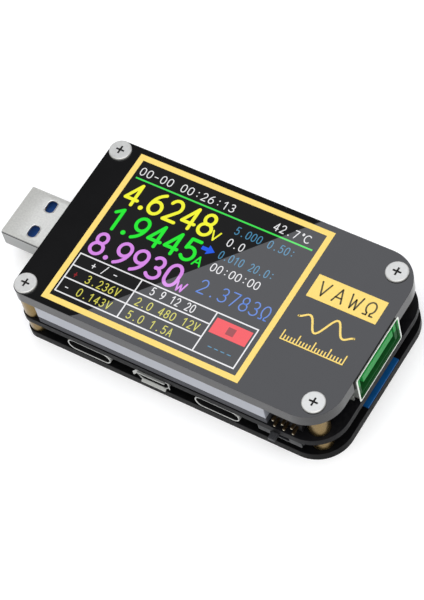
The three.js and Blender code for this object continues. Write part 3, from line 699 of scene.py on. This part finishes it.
def add_screen(top):
    """The display as it shows through the panel. All of its marks are figures, unit signs or plain shapes."""
    low, z, high = top + SCREEN_LIFT, top + MARK_LIFT, top + TOP_MARK_LIFT
    inner_x, inner_y = grown(FRAME_X, -FRAME_LINE), grown(FRAME_Y, -FRAME_LINE)
    piece("screen_pane", [bar(inner_x, inner_y, low)], SCREEN_BLACK)
    piece("print_frame", border(FRAME_X, FRAME_Y, FRAME_LINE, z), GOLD_PRINT)

    header = small("00-00 00:26:13", -26.3, 13.85, z, 1.58, 1.2)
    header += small("42.7", 4.3, 13.85, z, 1.42, 1.1)
    header += small(["degree"], 10.2, 13.85, z) + small("C", 10.95, 13.85, z, 1.4, 1.4)
    piece("screen_header", header, WHITE_LIGHT)
    piece("screen_rule", [bar((-26.35, 13.7), (12.85, 13.2), z)], GREEN_LINE)

    readings = (
        ("volts", "4.6248", "V", 6.7, YELLOW_LIGHT),
        ("amps", "1.9445", "A", 0.35, GREEN_LIGHT),
        ("watts", "8.9930", "W", -6.0, VIOLET_LIGHT),
    )
    for name, figures, unit, y, colour in readings:
        marks = write(figures, READING_X, y, BIG_HEIGHT, BIG_PITCH, BIG_WIDTH, BIG_LINE, z, BIG_DOT_PITCH)
        marks += write(unit, UNIT_X, y, 2.35, 2.0, 1.95, 0.34, z)
        piece(f"reading_{name}", marks, colour)

    arrow = [(-5.9, 4.2), (-4.6, 4.2), (-4.6, 3.5), (-3.0, 4.6), (-4.6, 5.7), (-4.6, 5.0), (-5.9, 5.0)]
    piece("screen_arrow", [flat(arrow, z)], ARROW_LIGHT)
    notes = small("5.000 0.50:", -2.0, 9.8, z, 1.22, 0.98)
    notes += small("0.010 20.0:", -2.0, 3.75, z, 1.12, 0.9)
    piece("screen_settings", notes, TEAL_LIGHT)
    clock = small("0.0", -2.0, 6.85, z, 1.3, 1.05) + small("00:00:00", -2.0, 0.7, z, 1.38, 1.12)
    piece("screen_clock", clock, WHITE_LIGHT)
    load = write([*"2.3783", "ohm"], -1.9, -4.55, 3.25, 2.3, 1.85, 0.26, z)
    piece("reading_ohms", load, BLUE_LIGHT)

    lines = border(TABLE_X, TABLE_Y, TABLE_LINE, z)
    half = TABLE_LINE / 2
    lines += [bar((TABLE_X[0], TABLE_COLUMNS[1]), (y - half, y + half), z) for y in TABLE_ROWS]
    lines += [bar((x - half, x + half), TABLE_Y, z) for x in TABLE_COLUMNS]
    lines += small("+ / -", -23.2, -8.95, z, 1.25, 1.05)
    lines += small("5 9 12 20", -9.6, -8.95, z, 1.12, 0.92)
    lines += small("-", -25.3, -15.3, z)
    piece("screen_table", lines, WHITE_LIGHT)
    piece("screen_plus", small("+", -25.3, -12.1, z), DARK_RED_LIGHT)
    values = small("3.236V", -22.4, -12.1, z, 1.32, 1.02)
    values += small("0.143V", -22.4, -15.3, z, 1.32, 1.02)
    values += small("2.0 480 12V", -11.0, -12.1, z, 1.3, 1.02)
    values += small("5.0 1.5A", -11.0, -15.3, z, 1.3, 1.02)
    piece("screen_values", values, OLIVE_LIGHT)
    piece("screen_stop", [bar((5.1, 13.0), (-11.0, -7.6), z)], RED_LIGHT)
    piece("screen_stop_mark", [bar((8.2, 9.9), (-10.15, -8.45), high)], DARK_RED_LIGHT)
    piece("screen_blank", small("----", 6.5, -14.6, z, 1.4, 1.15), TEAL_LIGHT)


LABEL_X = (17.65, 32.56)
LABEL_Y = (3.8, 9.06)
WAVE_X = (18.7, 30.6)
WAVE_Y = -0.6
WAVE_HEIGHT = 2.3
SCALE_X = (17.9, 31.4)
SCALE_Y = -6.5


def add_print(top):
    """The gold print beside the display: a plate of unit signs, a sine wave and a scale of ticks."""
    z, high = top + MARK_LIFT, top + TOP_MARK_LIFT
    piece("print_label", [bar(LABEL_X, LABEL_Y, z)], GOLD_PRINT)
    units = write(["V", "A", "W", "ohm"], LABEL_X[0] + 1.35, LABEL_Y[0] + 0.95, 3.3, 3.35, 2.3, 0.34, high)
    piece("print_units", units, DARK_PRINT)
    count = 96
    wave = []
    for i in range(count + 1):
        share = i / count
        swell = WAVE_HEIGHT * math.sin(math.pi * share)
        x = WAVE_X[0] + (WAVE_X[1] - WAVE_X[0]) * share
        wave.append((x, WAVE_Y + swell * math.sin(4 * math.pi * share)))
    piece("print_wave", stroke(wave, 0.42, z), GOLD_PRINT)
    ticks = [bar((SCALE_X[0], SCALE_X[1]), (SCALE_Y, SCALE_Y + 0.26), z)]
    for i in range(21):
        x = SCALE_X[0] + 0.13 + (SCALE_X[1] - SCALE_X[0] - 0.26) * i / 20
        height = 2.2 if i % 5 == 0 else 1.2
        ticks.append(bar((x - 0.13, x + 0.13), (SCALE_Y, SCALE_Y + height), high))
    piece("print_scale", ticks, GOLD_PRINT)


# ---------------------------------------------------------------- screws and standoffs


def cross(x, y, half, thin):
    """A plus sign's outline."""
    return [
        (x + half, y - thin), (x + half, y + thin), (x + thin, y + thin), (x + thin, y + half),
        (x - thin, y + half), (x - thin, y + thin), (x - half, y + thin), (x - half, y - thin),
        (x - thin, y - thin), (x - thin, y - half), (x + thin, y - half), (x + thin, y - thin),
    ]  # fmt: skip


def add_front_screw(number):
    """A low round head with a tapered cross recess."""
    node = f"front_screw_{number}"
    x, y, z = span(node)
    cx, cy, top = middle(x), middle(y), z[1]
    r = (x[1] - x[0]) / 2
    rim = [(r - 0.04, top - 0.45), (r, top - 0.4), (r, top - 0.2), (r - 0.06, top - 0.07), (r - 0.2, top)]
    side = [placed(circle(cx, cy, radius), height, "z") for radius, height in rim]
    skin = loft(side)
    skin = (skin[0], skin[1][:-1])
    mouth, floor = cross(cx, cy, 0.92, 0.2), cross(cx, cy, 0.5, 0.13)
    face = sheet_with_hole(circle(cx, cy, rim[-1][0]), mouth, top)
    recess = loft([placed(mouth, top, "z"), placed(floor, top - 0.42, "z")])
    recess = (recess[0], recess[1][:-2] + recess[1][-1:])
    outside = len(skin[1]) + len(face[1])
    parts = [skin, face, recess]
    head = piece(f"screw_head_{number}", parts, SCREW_STEEL, instead_of=[node])
    # The cross recess is painted grey shade.
    shade_inside(head, RECESS_SHADE, range(outside, outside + len(recess[1])))


def add_standoffs(number, board_z, panel_bottom):
    """Turned brass posts with chamfered ends."""
    x, y, low_z = span(f"lower_standoff_{number}")
    cx, cy, r = middle(x), middle(y), (x[1] - x[0]) / 2
    for name, z in (("upper", (board_z[1], panel_bottom)), ("lower", low_z)):
        profile = [(r - 0.2, z[0]), (r, z[0] + 0.2), (r, z[1] - 0.2), (r - 0.2, z[1])]
        piece(
            f"{name}_post_{number}",
            [lathe(profile, cx, cy)],
            BRASS,
            instead_of=[f"{name}_standoff_{number}"],
        )


# ---------------------------------------------------------------- USB-A plug and socket

USB_A_CONTACT_YS = (-3.5, -1.0, 1.0, 3.5)
USB_A_CONTACT_HALF = 0.5
PLUG_WALL = 0.3
PLUG_CORNER = 0.5
PLUG_TONGUE_T = 1.9
PLUG_TONGUE_GAP = 0.1
WINDOW_X = (-42.85, -40.85)
WINDOW_YS = (-3.2, 3.2)
WINDOW_HALF = 1.4
WINDOW_R = 0.8
SEAM_DEPTH = 0.2
SEAM_BELOW_TOP = (0.52, 0.3)
SOCKET_Y = (-8.0, 7.0)
SOCKET_Z = (8.5, 15.05)
SOCKET_LIP_LOW = 8.3
SOCKET_WALL = 0.35
SOCKET_FOOT_LENGTH = 1.6


def add_plug():
    """The folded plug shell with its windows and seam, and the contacts on the moulding inside."""
    x, y, z = span("usb_a_plug_shell")

    def section(inset):
        return rounded(grown(y, -inset), grown(z, -inset), PLUG_CORNER - inset)

    front, rear = x[0], x[1]
    stations = [
        (rear, 0.0), (front + 0.14, 0.0), (front + 0.04, 0.05), (front, 0.13),
        (front + 0.03, 0.22), (front + 0.12, PLUG_WALL), (rear, PLUG_WALL),
    ]  # fmt: skip
    tube = loft([placed(section(inset), w, "x") for w, inset in stations], ring=True)
    shell = shape("plug_shell", [tube], PLUG_STEEL)
    windows = []
    rims = []
    for centre_y in WINDOW_YS:
        window_y = (centre_y - WINDOW_HALF, centre_y + WINDOW_HALF)
        cutter = rounded(WINDOW_X, window_y, WINDOW_R)
        windows.append(loft([placed(cutter, z[0] - 1, "z"), placed(cutter, z[1] + 1, "z")]))
        for level, sign in ((z[1], 1), (z[0], -1)):
            bead = [(0.26, 0.0), (0.2, 0.06), (0.08, 0.07), (0.0, 0.02), (0.0, -0.1), (0.26, -0.1)]
            loops = []
            for out, height in bead:
                outline = rounded(grown(WINDOW_X, out), grown(window_y, out), WINDOW_R + out)
                loops.append(placed(outline, level + sign * height, "z"))
            rims.append(loft(loops, ring=True))
    seam_z = (z[1] - SEAM_BELOW_TOP[0], z[1] - SEAM_BELOW_TOP[1])
    seam = block((front - 1, rear + 1), (y[0] - 1, y[0] + SEAM_DEPTH), seam_z)
    cut_away(shell, windows + [seam])
    # The side faces are painted shade in a darker nickel, and the seam's faces are painted grey shade.
    shell.data.materials.append(PLUG_SIDE_SHADE)
    shell.data.materials.append(RECESS_SHADE)
    for face in shell.data.polygons:
        at_y, at_z = face.center.y / MM, face.center.z / MM
        if abs(face.normal.y) > 0.7:
            face.material_index = 1
        in_seam = 0.01 < at_y - y[0] < SEAM_DEPTH + 0.01
        if in_seam and seam_z[0] - 0.01 < at_z < seam_z[1] + 0.01:
            face.material_index = 2
    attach(shell, "chassis")
    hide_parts("usb_a_plug_shell")
    piece("plug_window_rims", rims, TIN)
    tongue_top = z[0] + PLUG_WALL + PLUG_TONGUE_GAP + PLUG_TONGUE_T
    strips = []
    for cy in USB_A_CONTACT_YS:
        contact_y = (cy - USB_A_CONTACT_HALF, cy + USB_A_CONTACT_HALF)
        strips.append(block((front + 1.0, front + 4.2), contact_y, (tongue_top, tongue_top + 0.12), 0.04))
    piece("plug_contacts", strips, PIN_GOLD)


def add_socket():
    """The socket's folded shell with its flared lips, and the contacts below its tongue."""
    x, y, z = span("usb_a_socket_shell")
    board_top = span("main_board")[2][1]
    tube_y, tube_z, wall = SOCKET_Y, SOCKET_Z, SOCKET_WALL
    mouth = x[1]
    lip_y, lip_z = y, (SOCKET_LIP_LOW, z[1])
    stations = [
        (x[0], tube_y, tube_z, 0.5),
        (mouth - 0.42, tube_y, tube_z, 0.5),
        (mouth - 0.2, grown(tube_y, 0.16), (8.42, 15.4), 0.5),
        (mouth - 0.04, lip_y, (lip_z[0], lip_z[1] - 0.02), 0.5),
        (mouth, grown(lip_y, -0.1), grown(lip_z, -0.1), 0.42),
        (mouth - 0.01, grown(lip_y, -0.38), (lip_z[0] + 0.42, lip_z[1] - 0.36), 0.36),
        (mouth - 0.22, grown(tube_y, -0.2), (8.82, 15.1), 0.3),
        (mouth - 0.5, grown(tube_y, -wall), grown(tube_z, -wall), 0.15),
        (x[0] + wall, grown(tube_y, -wall), grown(tube_z, -wall), 0.15),
    ]
    skin = loft([placed(rounded(u, v, r), w, "x") for w, u, v, r in stations])
    feet = []
    for foot_x in (x[0] + 1.0, mouth - 3.45):
        for foot_y in ((tube_y[0], tube_y[0] + wall), (tube_y[1] - wall, tube_y[1])):
            feet.append(block((foot_x, foot_x + SOCKET_FOOT_LENGTH), foot_y, (board_top, tube_z[0] + 0.4)))
    shell = piece(
        "socket_shell", [skin] + feet, SOCKET_STEEL, instead_of=["usb_a_socket_shell"]
    )
    sides = len(skin[0]) // len(stations)
    inner = range(5 * sides, 8 * sides)
    # The shell's inner faces are painted shaded green below the tongue, and the glowing green above it.
    shade_inside(shell, SOCKET_GREEN_SHADE, inner)
    shell.data.materials.append(SOCKET_GREEN)
    for i in inner:
        if shell.data.polygons[i].center.z > TONGUE_LOW * MM:
            shell.data.polygons[i].material_index = 2
    centre = middle(tube_y)
    strips = []
    for cy in USB_A_CONTACT_YS:
        contact_y = (centre + cy - USB_A_CONTACT_HALF, centre + cy + USB_A_CONTACT_HALF)
        contact_z = (TONGUE_LOW - 0.1, TONGUE_LOW + 0.03)
        strips.append(block((mouth - 8.0, mouth - 0.9), contact_y, contact_z, 0.04))
    piece("socket_contacts", strips, PIN_GOLD)


# ---------------------------------------------------------------- small ports

TYPE_C_WALL = 0.28
TYPE_C_CONTACTS = 12
TYPE_C_PITCH = 0.5
MICRO_LIP_REACH = 0.45
MICRO_INNER_HALF = 3.43
MICRO_INNER_Z = (3.03, 5.13)
MICRO_PITCH = 0.65
MICRO_CONTACT_HALF = 0.15
MICRO_SHADE_DEPTH = 3.7
MICRO_SHADE_T = 0.05
MICRO_SLOPE = 0.85


def add_type_c(number):
    """A drawn steel shell with round ends, and two rows of contacts on its tongue."""
    x, y, z = span(f"usb_c_shell_{number}")
    wall = TYPE_C_WALL
    r = (z[1] - z[0]) / 2
    front, rear = y
    stations = [
        (rear, 0.0), (front + 0.12, 0.0), (front + 0.03, 0.05), (front, 0.13),
        (front + 0.03, 0.22), (front + 0.1, wall), (rear, wall),
    ]  # fmt: skip
    loops = [placed(rounded(grown(x, -i), grown(z, -i), r - i - 0.005, 9), w, "y") for w, i in stations]
    shell = piece(
        f"type_c_shell_{number}",
        [loft(loops, ring=True)],
        PORT_STEEL,
        instead_of=[f"usb_c_shell_{number}"],
    )
    sides = len(loops[0])
    # The shell's inner wall is painted near-black shade.
    shade_inside(shell, PORT_SHADE, range(5 * sides, 6 * sides))
    centre, level = middle(x), middle(z)
    pads = []
    for i in range(TYPE_C_CONTACTS):
        cx = centre + (i - (TYPE_C_CONTACTS - 1) / 2) * TYPE_C_PITCH
        for low, high in ((level - 0.38, level - 0.34), (level + 0.34, level + 0.38)):
            pads.append(block((cx - 0.13, cx + 0.13), (front + 1.0, front + 4.2), (low, high)))
    # The contacts are painted shade in a dark gold.
    piece(f"type_c_contacts_{number}", pads, CONTACT_SHADE)




def add_micro():
    """The micro port's five contacts, in a dark gold of painted shade, and a near-black sheet of painted
    shade inside its shell. Shell and tongue are the CAD's.
    """
    x, y, _ = span("micro_usb_tongue")
    centre = middle(x)
    tongue_low = span("micro_usb_shell")[2][1] - 1.55
    pads = []
    for i in range(-2, 3):
        cx = centre + i * MICRO_PITCH
        pad_x = (cx - MICRO_CONTACT_HALF, cx + MICRO_CONTACT_HALF)
        pads.append(block(pad_x, (y[0] + 0.2, y[0] + 3.0), (tongue_low - 0.04, tongue_low + 0.02)))
    # The contacts are painted shade in a dark gold.
    piece("micro_contacts", pads, CONTACT_SHADE)
    face_y = span("micro_usb_shell")[1][0] + MICRO_LIP_REACH
    near, far = face_y + 0.12, face_y + MICRO_SHADE_DEPTH
    waist = middle(MICRO_INNER_Z)
    loops = []
    for thin, w in ((0, near), (0, far), (MICRO_SHADE_T, far), (MICRO_SHADE_T, near)):
        half, low, high = MICRO_INNER_HALF - thin, MICRO_INNER_Z[0] + thin, MICRO_INNER_Z[1] - thin
        outline = [
            (centre - half, high), (centre - half, waist), (centre - half + MICRO_SLOPE, low),
            (centre + half - MICRO_SLOPE, low), (centre + half, waist), (centre + half, high),
        ]  # fmt: skip
        loops.append(placed(outline, w, "y"))
    # A near-black sheet of painted shade inside the shell.
    piece("micro_painted_shade", [loft(loops, ring=True)], PORT_SHADE)


# ---------------------------------------------------------------- header, switch and keys


def add_header():
    """A moulded block for each pin, with the notches between them that such headers have."""
    x, y, z = span("pin_header_housing")
    columns, rows = 3, 2
    wide, high = (x[1] - x[0]) / columns, (z[1] - z[0]) / rows
    notch = 0.36
    cells = []
    for column in range(columns):
        for row in range(rows):
            u = (x[0] + column * wide, x[0] + (column + 1) * wide)
            v = (z[0] + row * high, z[0] + (row + 1) * high)
            outline = rounded(u, v, notch, 90)
            cells.append(loft([placed(outline, w, "y") for w in y]))
    piece(
        "header_blocks",
        cells,
        BLACK_MOULDING,
        instead_of=["pin_header_housing"],
        bevel=0.06,
    )
    tips = []
    for number in range(1, columns * rows + 1):
        pin_x, pin_y, pin_z = span(f"header_pin_{number}")
        pin_z = (pin_z[1] - (pin_x[1] - pin_x[0]), pin_z[1])
        stations = [(0.05, 0.13), (-0.02, 0.13), (-0.05, 0.18)]
        loops = []
        for w, inset in stations:
            square = rounded(grown(pin_x, -inset), grown(pin_z, -inset), 0.05, 45)
            loops.append(placed(square, pin_y[0] + w, "y"))
        tips.append(loft(loops))
    piece("pin_tips", tips, PIN_BRIGHT)


def add_switch_details():
    """The ridges on the knob and the steel cover's folded tabs."""
    x, y, z = span("slide_switch_knob")
    ridges = []
    for i in range(3):
        left = x[0] + 0.22 + i * 0.42
        ridges.append(block((left, left + 0.22), (y[0], y[0] + 0.9), (z[1] - 0.01, z[1] + 0.07)))
    piece("knob_ridges", ridges, KNOB_GREY, body="mode_knob", bevel=0.02)
    body_x, body_y, body_z = span("slide_switch_body")
    tabs = [
        block(side, (body_y[0] + 0.5, body_y[1] - 0.5), (body_z[0] + 0.2, body_z[1] - 0.05), 0.08)
        for side in ((body_x[0] - 0.15, body_x[0] + 0.05), (body_x[1] - 0.05, body_x[1] + 0.15))
    ]
    piece("switch_tabs", tabs, SWITCH_METAL)


def add_key_details(number):
    """The stakes that hold a key's steel cover."""
    x, y, z = span(f"key_body_{number}")
    stakes = []
    for cx in (x[0] + 0.75, x[1] - 0.75):
        for cz in (z[0] + 0.75, z[1] - 0.75):
            rings = [(0.34, -0.1), (0.34, 0.05), (0.24, 0.12), (0.08, 0.14)]
            stakes.append(loft([placed(circle(cx, cz, r, 20), y[1] + h, "y") for r, h in rings]))
    piece(f"key_stakes_{number}", stakes, BLACK_MOULDING)


def add_chip_leads():
    """Tinned leads on all four sides of the controller and two sides of the sensing chip."""
    for chip, sides, count in (("controller_chip", 4, 9), ("sensing_chip", 2, 4)):
        x, y, z = span(chip)
        top = z[1]
        leads = []
        for i in range(count):
            share = (i + 1) / (count + 1)
            cy = y[0] + (y[1] - y[0]) * share
            for inner, outer in ((x[0] + 0.05, x[0] - 0.9), (x[1] - 0.05, x[1] + 0.9)):
                reach = (min(inner, outer), max(inner, outer))
                leads.append(block(reach, (cy - 0.12, cy + 0.12), (top - 0.14, top), 0.03))
            if sides == 4:
                cx = x[0] + (x[1] - x[0]) * share
                for inner, outer in ((y[0] + 0.05, y[0] - 0.9), (y[1] - 0.05, y[1] + 0.9)):
                    reach = (min(inner, outer), max(inner, outer))
                    leads.append(block((cx - 0.12, cx + 0.12), reach, (top - 0.14, top), 0.03))
        piece(f"{chip}_leads", leads, TIN)


# ---------------------------------------------------------------- assembly

NODE_FINISHES = {
    "front_panel": (ACRYLIC, 0.22),
    "main_board": (SOLDER_MASK, 0.08),
    "back_plate": (LAMINATE, 0.14),
    "display_spacer": (FOAM_GREY, 0.12),
    "display_frame": (BAND_SILVER, 0.12),
    "display_glass": (DARK_GLASS, 0.1),
    "display_ribbon": (AMBER_FILM, 0.03),
    "ribbon_connector": (IVORY, 0.12),
    "usb_a_plug_insulator": (PLUG_BLUE, 0.1),
    "usb_a_socket_insulator": (SOCKET_GREEN, 0.1),
    "socket_end_pad": (PAD_BLUE, 0.08),
    "micro_usb_shell": (PORT_GREY, 0.05),
    "micro_usb_tongue": (BLACK_MOULDING, 0.06),
    "slide_switch_body": (SWITCH_METAL, 0.14),
    "slide_switch_knob": (KNOB_GREY, 0.1),
    "controller_chip": (CHIP_BLACK, 0.12),
    "sensing_chip": (CHIP_BLACK, 0.12),
    "shunt_resistor": (CERAMIC, 0.08),
    "supply_inductor": (FERRITE, 0.2),
}
REPEATED_FINISHES = {
    "back_screw": (4, SCREW_STEEL, 0.04),
    "usb_c_tongue": (2, BLACK_MOULDING, 0.06),
    # The header pins are a darker gold of painted shade.
    "header_pin": (6, PIN_GOLD_SHADE, 0.12),
    "key_body": (4, KEY_STEEL, 0.16),
    "key_cap": (4, BLACK_MOULDING, 0.14),
}


def add_floor():
    """A pale floor with a glow of its own, as a lit table has, so that it holds no hard shadow."""
    size = FLOOR_SIZE_M / MM / 2
    pale = surface("pale_floor", linear(240, 240, 240), 0.7, tint=0.01, scale=3.0, specular=0.2)
    shader = pale.node_tree.nodes["Principled BSDF"]
    shader.inputs["Emission Color"].default_value = (1, 1, 1, 1)
    shader.inputs["Emission Strength"].default_value = FLOOR_GLOW
    shape("floor", [bar((-size, size), (-size, size), -0.01)], pale)


def main():
    scene = bpy.context.scene
    scene.view_settings.view_transform = "Standard"
    panel_z = span("front_panel")[2]
    board_z = span("main_board")[2]
    camera_place = add_camera()
    add_card(camera_place, panel_z[1])
    add_soft_light("overhead_fill", FILL_PLACE, facing(FILL_PLACE), FILL_SIZE, FILL_RADIANCE)
    add_world()
    add_floor()

    for node, (material, bevel) in NODE_FINISHES.items():
        finish_node(node, material, bevel)
    for stem, (count, material, bevel) in REPEATED_FINISHES.items():
        for number in range(1, count + 1):
            finish_node(f"{stem}_{number}", material, bevel)

    add_screen(panel_z[1])
    add_print(panel_z[1])
    for number in range(1, 5):
        add_front_screw(number)
        add_standoffs(number, board_z, panel_z[0])
        add_key_details(number)
    add_plug()
    add_socket()
    for number in (1, 2):
        add_type_c(number)
    add_micro()
    add_header()
    add_switch_details()
    add_chip_leads()


main()
